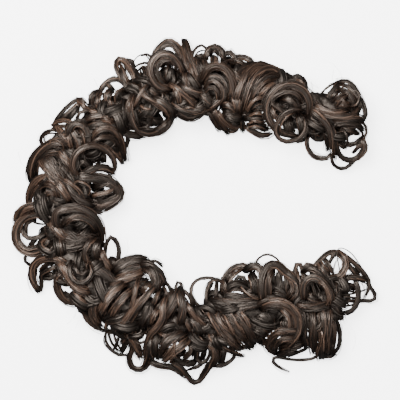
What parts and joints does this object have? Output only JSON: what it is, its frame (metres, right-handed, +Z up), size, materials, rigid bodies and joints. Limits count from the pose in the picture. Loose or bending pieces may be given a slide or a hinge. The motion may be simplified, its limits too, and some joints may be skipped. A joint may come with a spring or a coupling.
{
  "type": "top knot hairpiece",
  "caption": "Long curly wrap-around hairpiece on a bendable core, laid in an open C, for winding round a top knot or bun.",
  "frame": {"origin": "centre of the hairpiece's outer box, on the surface that it lies on", "axes": "+X towards the two free ends, +Z up, away from the surface"},
  "size_m": [0.3629, 0.3456, 0.0499],
  "materials": {
    "hair": "curled synthetic hair, dark brown, soft sheen",
    "core_sleeve": "dark woven sleeve over a bendable wire"
  },
  "bodies": {
    "root": {"core_wire": "core_sleeve", "tuft_01": "hair", "tuft_02": "hair", "tuft_03": "hair", "tuft_04": "hair", "tuft_05": "hair", "tuft_06": "hair", "tuft_07": "hair", "tuft_08": "hair", "tuft_09": "hair", "tuft_10": "hair", "tuft_11": "hair", "tuft_12": "hair", "tuft_13": "hair", "tuft_14": "hair"}
  },
  "joints": []
}
